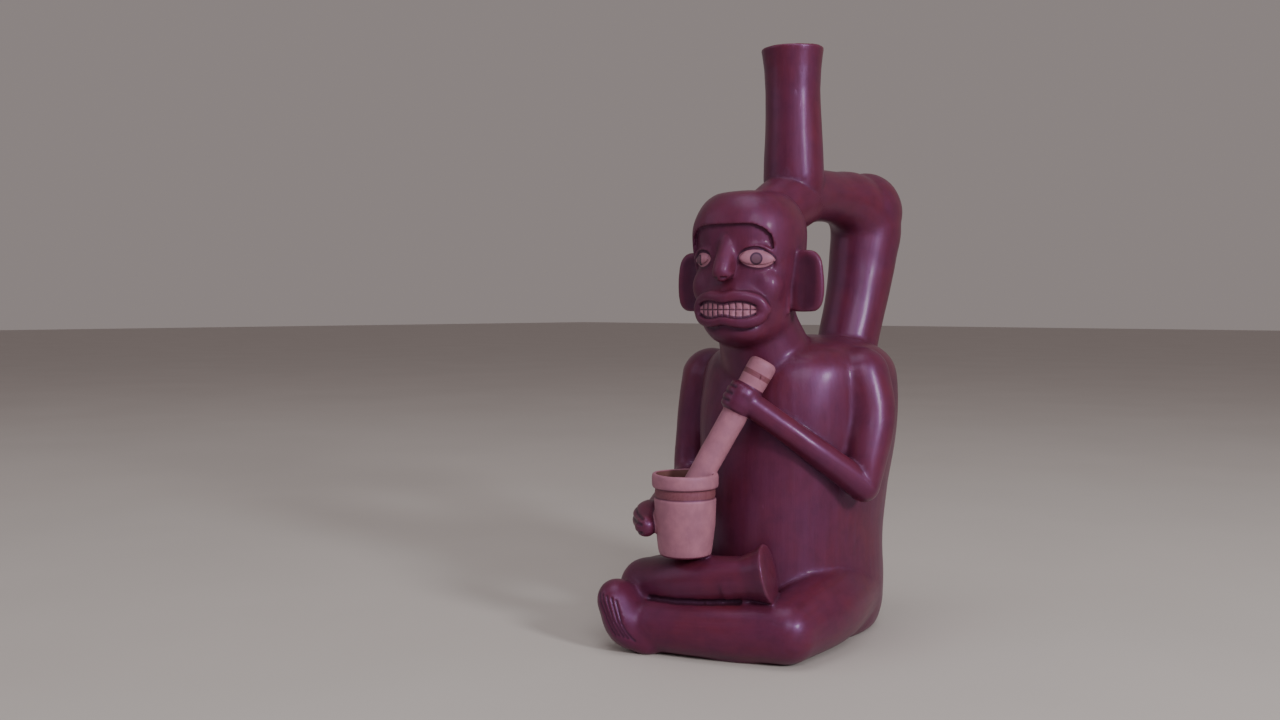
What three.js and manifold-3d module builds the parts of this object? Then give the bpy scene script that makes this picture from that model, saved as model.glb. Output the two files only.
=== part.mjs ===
// Stirrup spout vessel: a hollow, burnished clay bottle shaped as a seated figure with a pestle and mortar.
// Millimetres, +Z up. The figure faces -Y and its left side is +X; the flat underside is at z = 0.
// The dimensions below are laid out from the stirrup's own plane, x = 0; meshOf then centres the plan.
import * as THREE from "three";
import { mergeVertices } from "three/addons/utils/BufferGeometryUtils.js";
import Module from "manifold-3d";

const wasm = await Module();
wasm.setup();

const point = (x, y, z) => new THREE.Vector3(x, y, z);

// ---- Driving dimensions ----
const RIM_Z = 278; // lip of the spout, the overall height
const WALL = 5; // thickness of the chamber's clay wall
const TUBE_BORE = 9; // radius of the way through the stirrup and the spout
const MOUTH_BORE = 12; // radius of the way in at the lip

const TRUNK_Y = 11; // the trunk's own centre line
const HEAD = { y: -28, turn: 10 }; // the head turns a little to its left, in degrees
const CAP_LIFT = 1.8; // how far the cap stands off the forehead
const EAR = { x: 27.4, z: 166.8, halfWidth: 9, halfHeight: 13.6, halfDepth: 3, y: -1 };
const EYE = { x: 13.2, z: 176.3, halfWidth: 7.8, halfHeight: 3.9, turn: 26 };
const MOUTH = { x: 1.2, z: 154, halfWidth: 15.8, halfHeight: 6, lip: 3.1 };

const SPOUT = { foot: point(0, 7.1, 204), lean: point(0, -0.03, 1) };
const MORTAR = { x: -8, y: -64.6, base: 45, rim: 81.8, rimRadius: 14.8, footRadius: 11.8 };
const MORTAR_WALL = 2.3;
const MORTAR_FLOOR = 6;
const PESTLE = {
  foot: point(-12, -70.5, 56.5),
  footRadius: 5.8,
  head: point(16.5, -39, 131.3),
  headRadius: 6.3,
};

// ---- Stations ----
// Upright forms, top first: [z, half width, depth to the front, depth to the back, squareness].
const TRUNK = [
  [142, 6, 8, 8, 2],
  [140.5, 20, 22, 26, 2],
  [137, 33, 33, 40, 2.2],
  [129, 40.5, 42, 50, 2.3],
  [114, 42.5, 47, 54, 2.3],
  [94, 42, 50, 53, 2.3],
  [70, 39.5, 52, 48, 2.2],
  [44, 38, 53, 44.5, 2.2],
  [24, 39, 52, 44.5, 2.2],
  [9, 37.5, 49, 42, 2.3],
  [0, 32, 43, 35, 2.3],
  [-4, 12, 15, 13, 2],
];
const SKULL = [
  [208, 5, 6, 6, 2],
  [206, 14, 15, 15, 2.1],
  [200.5, 19.5, 20.5, 20, 2.3],
  [192.5, 22.5, 24, 22.5, 2.4],
  [183, 23, 24.5, 23, 2.4],
  [173, 22.5, 23, 22, 2.4],
  [164, 22, 24, 20, 2.4],
  [154, 21, 26, 18, 2.3],
  [146, 19, 26, 15, 2.2],
  [140, 14, 22, 11, 2.1],
  [137, 6, 15, 6, 2],
];
// Limbs and tubes: [x, y, z, radius].
const ARCH = [
  [0, 50, 122, 15],
  [0, 56, 139, 15.2],
  [0, 64, 161, 15.8],
  [0, 69.5, 182, 17.2],
  [0, 71.5, 198, 18.2],
  [0, 58, 208, 15.6],
  [0, 40, 210, 12.8],
  [0, 20, 209.3, 13],
  [0, 2, 204.7, 14.3],
  [0, -17, 196.5, 12.8],
];
// The fuller clay at the stirrup's rear bend: [centre], [half sizes].
const BEND = { centre: [0, 71.8, 204], half: [18.3, 19.8, 20.3] };
const NECK = [
  [0, -24, 152, 18],
  [0, -20, 142, 19.5],
  [0, -14, 130, 22],
];
const LEFT_UPPER_ARM = [
  [37, 8, 124, 13],
  [43.5, 6, 106, 11.5],
  [45.5, -1, 86, 9.5],
  [46.5, -4.5, 74.5, 7.5],
];
const LEFT_FOREARM = [
  [47, -5, 74.5, 7],
  [32, -28.5, 94, 5.9],
  [13, -46.2, 113, 5.2],
];
const RIGHT_UPPER_ARM = [
  [-42.5, -2, 119.5, 15.5],
  [-45.5, -5, 107, 12.8],
  [-48, -8, 88, 10.5],
  [-47.5, -12.5, 72, 8.8],
];
const RIGHT_FOREARM = [
  [-47, -12, 72, 8],
  [-40, -38, 65, 6.8],
  [-29, -62, 60, 5.8],
];
const LEFT_FIST = [
  [14.5, -44.6, 114, 6.4],
  [9.4, -46.8, 114.6, 8.2],
  [6.2, -45.8, 113, 7.4],
];
const RIGHT_HAND = [
  [-31, -58, 60, 7],
  [-27.5, -67, 59.5, 7.4],
  [-20, -77, 57, 5],
];
const LEFT_THIGH = [
  [18, 22, 20, 20],
  [29, -12, 18, 18.5],
  [33, -45, 14, 14.5],
];
const LEFT_SHIN = [
  [33, -45, 14, 14.5],
  [0, -61, 12.5, 12.6],
  [-29, -71, 11.5, 11.4],
];
const LEFT_FOOT = [
  [-25, -72, 9, 10.5],
  [-32.5, -76, 14, 12.2],
  [-36.8, -78, 22.5, 10],
];
const RIGHT_THIGH = [
  [-18, 18, 20, 20],
  [-30, -22, 22, 18],
  [-37, -57, 25, 13],
];
const RIGHT_SHIN = [
  [-37, -57, 25.5, 13],
  [-10, -59.5, 32.3, 11.3],
  [17, -54.5, 36.6, 9.4],
];
// The low clay web that closes the lap between the legs: [centre], [half sizes].
const LAP = { centre: [-2, -42, 6], half: [36, 24, 14] };
// The flared foot at the shin's end, and its radius from the ankle to the sole.
const RIGHT_FOOT = {
  ankle: point(9, -57.5, 34.4),
  sole: point(27.6, -49.6, 39.2),
  flare: [9, 9.4, 10.9, 13.2],
};

// ---- Ways of making a form ----

// The manifold-3d solid of a closed three.js geometry.
function solid(geometry) {
  geometry.deleteAttribute("normal");
  geometry.deleteAttribute("uv");
  const merged = mergeVertices(geometry, 1e-4);
  return new wasm.Manifold(
    new wasm.Mesh({
      numProp: 3,
      vertProperties: merged.getAttribute("position").array,
      triVerts: new Uint32Array(merged.index.array),
    }),
  );
}

const join = (...parts) => parts.flat().reduce((whole, part) => whole.add(part));

// A sphere's net drawn over other rings: place(row, c, s) is the point at (c, s) of that row's unit ring.
function drawn(around, along, place) {
  const geometry = new THREE.SphereGeometry(1, around, along);
  const position = geometry.getAttribute("position");
  let i = 0;
  for (let row = 0; row <= along; row++)
    for (let column = 0; column <= around; column++) {
      const angle = (2 * Math.PI * (column % around)) / around;
      const p = place(row, -Math.cos(angle), Math.sin(angle));
      position.setXYZ(i, p.x, p.y, p.z);
      i++;
    }
  return solid(geometry);
}

// A smooth curve through rows of numbers, t from 0 to 1.
function spline(rows, t) {
  const last = rows.length - 1;
  const i = Math.min(Math.floor(t * last), last - 1);
  const f = t * last - i;
  return rows[i].map((start, k) => {
    const end = rows[i + 1][k];
    const before = i > 0 ? rows[i - 1][k] : 2 * start - end;
    const after = i + 2 <= last ? rows[i + 2][k] : 2 * end - start;
    const slopeIn = (end - before) / 2;
    const slopeOut = (after - start) / 2;
    const square = 3 * (end - start) - 2 * slopeIn - slopeOut;
    const cube = 2 * (start - end) + slopeIn + slopeOut;
    return start + slopeIn * f + square * f * f + cube * f * f * f;
  });
}

const squared = (value, squareness) => Math.sign(value) * Math.abs(value) ** (2 / squareness);

// An upright form through its stations, grown all round by `grow`.
function upright(stations, around, along, grow = 0) {
  return drawn(around, along, (row, c, s) => {
    const [z, width, front, back, squareness] = spline(stations, row / along);
    const open = row === 0 || row === along ? 0 : 1;
    const depth = (s > 0 ? front : back) + grow;
    return point(open * (width + grow) * squared(c, squareness), -open * depth * squared(s, squareness), z);
  });
}

// A tube with round ends through stations [x, y, z, radius]; its rings turn with `up`, flattened along it.
function limb(stations, around, along, up = point(0, 0, 1), flatness = 1) {
  const caps = 2;
  const centre = (t) => point(...spline(stations, t).slice(0, 3));
  return drawn(around, along, (row, c, s) => {
    const into = Math.min(row, along - row, caps) / caps;
    const t = THREE.MathUtils.clamp((row - caps) / (along - 2 * caps), 0, 1);
    const radius = spline(stations, t)[3];
    const ahead = centre(Math.min(t + 0.01, 1)).sub(centre(Math.max(t - 0.01, 0))).normalize();
    const side = ahead.clone().cross(up).normalize();
    const over = ahead.clone().cross(side);
    const reach = Math.sign(t - 0.5) * radius * Math.cos((into * Math.PI) / 2);
    const ring = into === 0 ? 0 : radius * Math.sin((into * Math.PI) / 2);
    return centre(t)
      .addScaledVector(ahead, into < 1 ? reach : 0)
      .addScaledVector(side, ring * c)
      .addScaledVector(over, ring * s * flatness);
  });
}

// A lathe profile [radius, height], closed on its axis, stood at `foot` along `axis`.
function turned(profile, around, foot, axis) {
  const outline = profile.map(([radius, height]) => new THREE.Vector2(radius, height));
  const geometry = new THREE.LatheGeometry(outline, around);
  const lathe = point(0, 1, 0);
  geometry.applyQuaternion(new THREE.Quaternion().setFromUnitVectors(lathe, axis.clone().normalize()));
  geometry.translate(foot.x, foot.y, foot.z);
  return solid(geometry);
}

// An ellipsoid of the given half sizes.
function egg(x, y, z, halfX, halfY, halfZ, around = 12, along = 8) {
  return solid(new THREE.SphereGeometry(1, around, along).scale(halfX, halfY, halfZ).translate(x, y, z));
}

// ---- Trunk ----
function trunk() {
  return upright(TRUNK, 28, 16).translate([0, TRUNK_Y, 0]);
}

// The chamber inside the trunk, a wall's thickness in from its sides, its floor and its top.
function chamber() {
  const inner = TRUNK.filter(([z]) => z > WALL + 2 && z < 138).map(([z, width, front, back, squareness]) => [
    z,
    width - WALL,
    front - WALL,
    back - WALL,
    squareness,
  ]);
  const ceiling = [134, 18, 20, 26, 2];
  const floor = [WALL, 24, 32, 30, 2.2];
  return upright([ceiling, ...inner.slice(1), floor], 16, 8).translate([0, TRUNK_Y, 0]);
}

// ---- Stirrup and spout ----
function stirrup() {
  return limb(ARCH, 18, 18, point(1, 0, 0)).add(egg(...BEND.centre, ...BEND.half, 14, 8));
}

function stirrupBore() {
  const bore = ARCH.map(([x, y, z]) => [x, y, z, TUBE_BORE]);
  return limb(bore, 8, 16, point(1, 0, 0));
}

function spout() {
  const height = RIM_Z - SPOUT.foot.z;
  const profile = [
    [0, 0],
    [13.4, 0],
    [14.6, 12],
    [13.9, 28],
    [13.2, 42],
    [13, 54],
    [13.5, 64],
    [14.7, height - 1.4],
    [14.3, height],
    [0, height],
  ];
  return turned(profile, 22, SPOUT.foot, SPOUT.lean);
}

function spoutBore() {
  const above = RIM_Z - SPOUT.foot.z + 3;
  const profile = [
    [0, 4],
    [TUBE_BORE, 4],
    [TUBE_BORE + 0.4, 54],
    [TUBE_BORE + 1.4, 66],
    [MOUTH_BORE + 0.6, above],
    [0, above],
  ];
  return turned(profile, 16, SPOUT.foot, SPOUT.lean);
}

// ---- Head, made facing -Y about its own upright axis ----
function head() {
  const face = upright(SKULL, 26, 14);
  const details = [cap(), ...ears(), nose(), ...eyes(), mouth()];
  return onHead(join(face, details));
}

const onHead = (form) => form.rotate([0, 0, HEAD.turn]).translate([0, HEAD.y, 0]);

// The close cap: a larger skull with a window cut through it for the face.
function cap() {
  const shell = upright(SKULL.slice(0, 7), 26, 9, CAP_LIFT);
  const window = new THREE.Shape();
  window.moveTo(-20, 100);
  window.lineTo(20, 100);
  window.lineTo(19.5, 178);
  window.quadraticCurveTo(18, 190, 0, 191);
  window.quadraticCurveTo(-18, 190, -19.5, 178);
  const cutter = new THREE.ExtrudeGeometry(window, { depth: 60, bevelEnabled: false, curveSegments: 6 });
  return shell.subtract(solid(cutter.rotateX(Math.PI / 2)));
}

function ears() {
  const { x, y, z, halfWidth, halfHeight, halfDepth } = EAR;
  return [-1, 1].map((side) => egg(side * x, y, z, halfWidth, halfDepth, halfHeight, 12, 8));
}

function nose() {
  const bridge = [
    [0, -21, 186, 3],
    [0, -24.5, 178, 3],
    [0, -28, 170.5, 3.9],
  ];
  return limb(bridge, 10, 8, point(1, 0, 0));
}

function eyes() {
  const { x, z, halfWidth, halfHeight, turn } = EYE;
  return [-1, 1].map((side) => {
    const ball = egg(0, 0, 0, halfWidth, 2.4, halfHeight, 12, 6);
    return ball.rotate([0, 0, side * turn]).translate([side * x, -19.8, z]);
  });
}

// The grin: a ring of lip round the bared teeth, bent round the face.
function mouth() {
  const { x: middle, z, halfWidth, halfHeight, lip } = MOUTH;
  const ring = new THREE.TorusGeometry(1, 0.2, 6, 18);
  const position = ring.getAttribute("position");
  for (let i = 0; i < position.count; i++) {
    const x = position.getX(i);
    const y = position.getY(i);
    const out = Math.hypot(x, y);
    const rim = (out - 1) / 0.2;
    const across = (x / out) * (halfWidth + rim * lip * 0.7);
    const up = (y / out) * (halfHeight + rim * lip * 0.9);
    const front = -25.5 + (across * across) / 40;
    position.setXYZ(i, middle + across, front - (position.getZ(i) / 0.2) * lip, z + up);
  }
  return solid(ring);
}

// ---- Mortar and pestle ----
function mortar() {
  const { x, y, base, rim, rimRadius, footRadius } = MORTAR;
  const height = rim - base;
  const profile = [
    [0, 0],
    [footRadius - 1.2, 0],
    [footRadius, 1.6],
    [footRadius + 1.5, height * 0.4],
    [rimRadius - 1, height - 7],
    [rimRadius - 0.2, height - 6.4],
    [rimRadius, height - 1],
    [rimRadius - 0.8, height],
    [0, height],
  ];
  return turned(profile, 22, point(x, y, base), point(0, 0, 1));
}

function mortarBowl() {
  const { x, y, base, rim, rimRadius, footRadius } = MORTAR;
  const depth = rim - base - MORTAR_FLOOR;
  const profile = [
    [0, 0],
    [footRadius - MORTAR_WALL - 2, 0.6],
    [footRadius - MORTAR_WALL, 4],
    [rimRadius - MORTAR_WALL, depth + 2],
    [0, depth + 2],
  ];
  return turned(profile, 18, point(x, y, base + MORTAR_FLOOR), point(0, 0, 1));
}

function pestle() {
  const { foot, footRadius, headRadius } = PESTLE;
  const axis = PESTLE.head.clone().sub(foot);
  const length = axis.length();
  const profile = [
    [0, 0],
    [footRadius * 0.7, 0.4],
    [footRadius, 2.4],
    [headRadius, length - 1.2],
    [headRadius - 1, length],
    [0, length],
  ];
  return turned(profile, 14, foot, axis);
}

// ---- Limbs ----
function arms() {
  return [
    limb(LEFT_UPPER_ARM, 12, 9),
    limb(LEFT_FOREARM, 10, 8),
    limb(LEFT_FIST, 12, 8),
    limb(RIGHT_UPPER_ARM, 12, 9),
    limb(RIGHT_FOREARM, 10, 8),
    limb(RIGHT_HAND, 12, 8),
  ];
}

function legs() {
  return [
    limb(LEFT_THIGH, 14, 8),
    limb(LEFT_SHIN, 14, 8),
    limb(LEFT_FOOT, 12, 7, point(1, 0, 0), 0.75),
    limb(RIGHT_THIGH, 14, 8),
    limb(RIGHT_SHIN, 14, 8),
    rightFoot(),
    egg(...LAP.centre, ...LAP.half, 16, 6),
  ];
}

function rightFoot() {
  const { ankle, sole, flare } = RIGHT_FOOT;
  const axis = sole.clone().sub(ankle);
  const length = axis.length();
  const side = flare.map((radius, i) => [radius, (length * i) / flare.length]);
  const profile = [[0, 0], ...side, [flare.at(-1), length - 1], [flare.at(-1) - 1.5, length], [0, length]];
  return turned(profile, 18, ankle, axis);
}

// ---- The whole vessel ----
function vessel() {
  const neck = limb(NECK, 18, 6, point(1, 0, 0));
  const figure = join(trunk(), neck, head(), stirrup(), spout(), arms(), legs(), mortar());
  const headHollow = onHead(upright(SKULL.slice(1), 14, 7, -WALL));
  const neckBore = limb(
    [
      [0, -20, 160, TUBE_BORE],
      [0, -16, 142, TUBE_BORE],
      [0, -8, 124, TUBE_BORE],
    ],
    10,
    8,
    point(1, 0, 0),
  );
  const hollow = join(chamber(), headHollow, neckBore, stirrupBore(), spoutBore(), mortarBowl());
  const ground = solid(new THREE.BoxGeometry(600, 600, 60).translate(0, 0, -30));
  return figure.subtract(hollow).add(pestle()).subtract(ground);
}

function meshOf(part, name, material) {
  const { vertProperties, triVerts } = part.getMesh();
  const geometry = new THREE.BufferGeometry();
  geometry.setAttribute("position", new THREE.BufferAttribute(new Float32Array(vertProperties), 3));
  geometry.setIndex(new THREE.BufferAttribute(new Uint32Array(triVerts), 1));
  geometry.computeBoundingBox();
  const { min, max } = geometry.boundingBox;
  geometry.translate(-(min.x + max.x) / 2, -(min.y + max.y) / 2, -min.z);
  geometry.computeVertexNormals();
  const mesh = new THREE.Mesh(geometry, material);
  mesh.name = name;
  return mesh;
}

const burnishedClay = new THREE.MeshStandardMaterial({ color: 0x5c2f36, roughness: 0.35, metalness: 0 });

const group = new THREE.Group();
group.add(meshOf(vessel(), "vessel", burnishedClay));

export default group;
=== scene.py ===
"""A burnished clay stirrup spout vessel: a seated figure that works a pestle in a mortar.

Lengths in the tables are millimetres, laid out as the CAD model is: the stirrup's own plane is x = 0, the
figure faces -Y, its left side is +X and its underside is at z = 0. The finished clay is then put where the
CAD model stands, whose plan is centred.
"""

import functools
import math

import bmesh
import bpy
import numpy as np
from mathutils import Matrix, Vector, noise
from mathutils.bvhtree import BVHTree


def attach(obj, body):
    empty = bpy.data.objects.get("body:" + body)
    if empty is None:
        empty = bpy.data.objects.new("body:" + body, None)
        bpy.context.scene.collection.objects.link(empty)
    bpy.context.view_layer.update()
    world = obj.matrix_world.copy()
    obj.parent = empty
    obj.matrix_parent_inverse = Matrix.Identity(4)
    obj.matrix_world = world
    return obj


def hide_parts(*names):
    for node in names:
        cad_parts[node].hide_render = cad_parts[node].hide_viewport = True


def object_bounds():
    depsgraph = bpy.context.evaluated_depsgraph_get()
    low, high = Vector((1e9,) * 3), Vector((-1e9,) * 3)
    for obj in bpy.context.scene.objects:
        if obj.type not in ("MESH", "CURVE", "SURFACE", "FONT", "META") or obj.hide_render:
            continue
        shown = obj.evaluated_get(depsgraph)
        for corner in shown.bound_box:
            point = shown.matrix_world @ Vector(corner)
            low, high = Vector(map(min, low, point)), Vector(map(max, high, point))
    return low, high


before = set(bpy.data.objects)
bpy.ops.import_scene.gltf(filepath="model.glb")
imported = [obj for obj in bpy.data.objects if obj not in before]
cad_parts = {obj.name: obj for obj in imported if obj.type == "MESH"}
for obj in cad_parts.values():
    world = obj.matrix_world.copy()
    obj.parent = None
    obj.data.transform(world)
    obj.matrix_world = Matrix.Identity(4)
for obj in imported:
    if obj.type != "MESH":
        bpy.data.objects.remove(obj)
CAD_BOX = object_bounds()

MM = 0.001
RIM_Z = 278.0  # lip of the spout
WALL = 5.0  # thickness of the chamber's clay
TUBE_BORE = 9.0  # radius of the way through the stirrup
TRUNK_Y = 11.0  # the trunk's own centre line
HAIR = 0.02  # how far inside the CAD model's box the clay stays
ORIGIN = Vector((1.713, -1.671, 0))  # where the layout's own origin lies in the CAD model

BODY_GRAIN = 1.2  # how fine a net the body is fused with
SKIN_GRAIN = 0.55  # and the body with its details
TRIANGLES = 176000  # what the clay keeps of the skin
HOLLOW_GRAIN = 1.6
HOLLOW_TRIANGLES = 9000
UNEVEN = 0.22  # how far the hand-made clay swells and dips
STROKE_RELIEF = 0.1  # and how far it does along the strokes

HEAD_Y = -28.0
HEAD_TURN = 10.0  # the head turns a little to its left
HEAD_FRAME = Matrix.Translation((0, HEAD_Y, 0)) @ Matrix.Rotation(math.radians(HEAD_TURN), 4, "Z")
CAP_LIFT = 2.2  # how far the cap stands out from the skull at the brow
CAP_END, CAP_FADE = 158, 22  # the height where the cap dies away, and over how much height
CAP_SINK = 0.3  # how far under the skull its lower end lies
# Half sizes; "turn" and "tilt" are degrees.
EYE = {
    "x": 13.4,
    "y": -19.9,
    "z": 176.4,
    "width": 8.1,
    "height": 3.9,
    "turn": 27.0,
    "tilt": -4.0,
    "iris": 2.75,
}
EYEBALL_DEPTH = 2.3
EAR_X = 27.6
SMALL_EYE = (0.66, 0.8)  # the eye on its right: its width and height beside the other's
# Its middle, half sizes, and how it is pinched, comes forward and bends back at the sides.
MOUTH = {"x": 1.2, "z": 154.0, "width": 16.6, "height": 3.7, "pinch": 1.3, "front": 27.6, "bend": 36.0}
CORNER = 1.6  # what the lips take of the mouth at each corner
PINCH_WIDTH = 4.5
MOUTH_SQUARENESS = 3.4
UPPER_LIP, LOWER_LIP = 2.9, 2.6
TOOTH = 2.9  # width of a tooth

MORTAR = {
    "x": -8.0,
    "y": -64.6,
    "base": 45.0,
    "rim": 81.8,
    "rim_radius": 14.8,
    "foot_radius": 11.8,
    "wall": 2.4,
}
BAND_TOP, BAND_BASE = 6.5, 10.8  # the mortar's brown band, below its rim
PESTLE_FOOT = Vector((-12, -70.5, 56.5))
PESTLE_HEAD = Vector((16.5, -39, 131.3))
PESTLE_AXIS = (PESTLE_HEAD - PESTLE_FOOT).normalized()
PESTLE_LENGTH = (PESTLE_HEAD - PESTLE_FOOT).length
PESTLE_BAND = (8.6, 6.3)  # the pestle's brown band, below its head
FIST_ALONG = 66.6  # how far up the pestle the left fist holds it
FIST_REACH = 6.4  # and how much of the pestle it hides to either side
FIST_CENTRE = PESTLE_FOOT + PESTLE_AXIS * FIST_ALONG + Vector((-0.7, -1.0, 0))
FIST_RADIUS = 8.0
SPOUT_FOOT = Vector((0, 7.1, 204))
SPOUT_LEAN = Vector((0, -0.03, 1)).normalized()

# Upright forms, top first: (z, half width, depth to the front, depth to the back, squareness).
TRUNK = (
    (142, 6, 8, 8, 2),
    (140.5, 20, 22, 26, 2),
    (137, 33, 33, 40, 2.2),
    (129, 40.5, 42, 50, 2.3),
    (114, 42.5, 47, 54, 2.3),
    (94, 42, 50, 53, 2.3),
    (70, 39.5, 52, 48, 2.2),
    (44, 38, 53, 44.5, 2.2),
    (24, 39, 52, 44.5, 2.2),
    (9, 37.5, 49, 42, 2.3),
    (0, 32, 43, 35, 2.3),
    (-4, 12, 15, 13, 2),
)
SKULL = (
    (208, 5, 6, 6, 2),
    (206, 14, 15, 15, 2.1),
    (200.5, 19.5, 20.5, 20, 2.3),
    (192.5, 22.5, 23.8, 22.5, 2.4),
    (183, 22.8, 24, 23, 2.4),
    (173, 22.5, 22.6, 22, 2.4),
    (164, 22, 23.6, 20, 2.4),
    (154, 21, 25.2, 18, 2.3),
    (146, 19, 25.2, 15, 2.2),
    (140, 14, 21.6, 11, 2.1),
    (137, 6, 15, 6, 2),
)
EAR = (
    (180.8, 2.5, 1.2, 1.2, 2),
    (179.6, 5.6, 2.0, 2.0, 2.2),
    (175.8, 8.2, 2.3, 2.3, 2.8),
    (168, 9.3, 2.4, 2.4, 3),
    (161, 9.3, 2.4, 2.4, 3),
    (156.2, 8.3, 2.3, 2.3, 2.8),
    (153.6, 5.8, 1.9, 1.9, 2.2),
    (153, 2.5, 1.2, 1.2, 2),
)
# The window in the cap for the face, cut straight back.
CAP_WINDOW = (
    (191.9, 8, 44, 40, 6),
    (191.2, 13.5, 44, 40, 6),
    (188.2, 18.4, 44, 40, 6),
    (181.5, 20.4, 44, 40, 6),
    (150, 20.8, 44, 40, 6),
    (100, 21.2, 44, 40, 6),
)
# Limbs and tubes: (x, y, z, radius).
ARCH = (
    (0, 50, 122, 15),
    (0, 56, 139, 15.3),
    (0, 64, 161, 15.9),
    (0, 69.5, 182, 17.3),
    (0, 71.5, 198, 18.2),
    (0, 58, 208, 15.6),
    (0, 40, 210, 12.9),
    (0, 20, 209.3, 13),
    (0, 2, 204.7, 14.4),
    (0, -17, 196.5, 12.8),
)
BEND = ((0, 71.8, 204), (18.5, 20, 20.4))
NECK = ((0, -24, 152, 18), (0, -20, 142, 19.5), (0, -14, 130, 22))
LEFT_UPPER_ARM = ((37, 8, 124, 13), (43.5, 6, 106, 11.5), (45.5, -1, 86, 9.5), (46.5, -4.5, 74.5, 7.5))
LEFT_FOREARM = ((47, -5, 74.5, 7), (32, -28.5, 94.2, 6), (13, -46.2, 113, 5.5))
RIGHT_UPPER_ARM = (
    (-42.5, -2, 119.5, 15.5),
    (-45.5, -5, 107, 12.8),
    (-48, -8, 88, 10.5),
    (-47.5, -12.5, 72, 8.8),
)
RIGHT_FOREARM = ((-47, -12, 72, 8), (-40, -38, 65, 6.8), (-29, -62, 60, 5.8))
RIGHT_HAND = ((-31, -58, 60, 6.6), (-27.8, -67, 60, 7.2), (-21, -76.5, 58, 5))
LEFT_THIGH = ((18, 22, 20, 20), (29, -12, 18, 18.5), (33, -45, 14, 14.5))
LEFT_SHIN = ((33, -45, 14, 14.5), (0, -61, 12.5, 12.6), (-29, -71, 11.5, 11.4))
LEFT_FOOT = ((-24, -72, 8.5, 10.5), (-31.5, -75.5, 13.5, 12.4), (-36.4, -77.8, 22, 10.4))
RIGHT_THIGH = ((-18, 18, 20, 20), (-30, -22, 22, 18), (-37, -57, 25, 13))
RIGHT_SHIN = ((-37, -57, 25.5, 13), (-10, -59.5, 32.4, 11.4), (17, -54.5, 36.8, 9.4))
RIGHT_ANKLE = Vector((9, -57.5, 34.6))
RIGHT_SOLE = Vector((27.4, -49.6, 39.2))
LAP = ((-2, -42, 6), (36, 24, 14))
LIMBS = (
    ARCH,
    NECK,
    LEFT_UPPER_ARM,
    LEFT_FOREARM,
    RIGHT_UPPER_ARM,
    RIGHT_FOREARM,
    RIGHT_HAND,
    LEFT_THIGH,
    LEFT_SHIN,
    LEFT_FOOT,
    RIGHT_THIGH,
    RIGHT_SHIN,
)


# ---- Ways of making a form ----


def spline(rows, t):
    """A smooth curve through rows of numbers, t from 0 to 1."""
    last = len(rows) - 1
    i = min(int(t * last), last - 1)
    f = t * last - i
    values = []
    for k, start in enumerate(rows[i]):
        end = rows[i + 1][k]
        before = rows[i - 1][k] if i > 0 else 2 * start - end
        after = rows[i + 2][k] if i + 2 <= last else 2 * end - start
        slope_in, slope_out = (end - before) / 2, (after - start) / 2
        square = 3 * (end - start) - 2 * slope_in - slope_out
        cube = 2 * (start - end) + slope_in + slope_out
        values.append(start + slope_in * f + square * f * f + cube * f * f * f)
    return values


def squared(value, squareness):
    return math.copysign(abs(value) ** (2 / squareness), value)


def drawn(clay, around, along, place, turn=None):
    """A ball pulled out over other rings.

    place(t, c, s) is the point at (c, s) of the unit ring t of the way along.
    """
    ball = bmesh.ops.create_uvsphere(clay, u_segments=around, v_segments=along, radius=1.0)["verts"]
    for corner in ball:
        x, y, z = corner.co
        t = round(math.acos(max(-1.0, min(1.0, z))) / math.pi, 5)
        ring = math.hypot(x, y)
        at = Vector(place(t, x / ring, y / ring) if ring > 1e-6 else place(round(t), 1.0, 0.0))
        corner.co = turn @ at if turn else at


def upright(clay, stations, around, along, grow=0.0, turn=None):
    """An upright form through its stations, grown all round by `grow`."""
    section = functools.cache(lambda t: spline(stations, t))

    def place(t, c, s):
        z, width, front, back, squareness = section(t)
        filled = 0.0 if t in (0, 1) else 1.0
        depth = (back if s > 0 else front) + grow
        x, y = (width + grow) * squared(c, squareness), depth * squared(s, squareness)
        return filled * x, filled * y, z

    drawn(clay, around, along, place, turn)


def limb_frames(stations, up):
    """A function from 0..1 along a limb to (centre, direction, two directions across it, radius)."""

    def centre(u):
        return Vector(spline(stations, min(max(u, 0.0), 1.0))[:3])

    @functools.cache
    def frame_at(u):
        ahead = (centre(u + 0.01) - centre(u - 0.01)).normalized()
        side = ahead.cross(up).normalized()
        return centre(u), ahead, side, ahead.cross(side), spline(stations, u)[3]

    return frame_at


def limb(clay, stations, around=28, along=40, up=(0, 0, 1), deep=1.0, tall=1.0, turn=None):
    """A tube with round ends through (x, y, z, radius), `deep` and `tall` times its radius across."""
    cap = 0.16
    frame_at = limb_frames(stations, Vector(up))

    def place(t, c, s):
        into = min(t, 1 - t, cap) / cap
        u = min(max((t - cap) / (1 - 2 * cap), 0.0), 1.0)
        centre, ahead, side, over, radius = frame_at(u)
        reach = math.copysign(radius * math.cos(into * math.pi / 2), u - 0.5)
        ring = radius * math.sin(into * math.pi / 2)
        return centre + ahead * reach + side * (ring * c * deep) + over * (ring * s * tall)

    drawn(clay, around, along, place, turn)


def egg(clay, centre, half, turn=None, spin=0.0):
    """An ellipsoid of the given half sizes, spun about its upright axis by `spin` degrees."""
    pose = Matrix.Translation(centre) @ Matrix.Rotation(math.radians(spin), 4, "Z")
    pose = pose @ Matrix.Diagonal((*half, 1))
    pose = turn @ pose if turn else pose
    bmesh.ops.create_uvsphere(clay, u_segments=40, v_segments=24, radius=1.0, matrix=pose)


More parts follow.
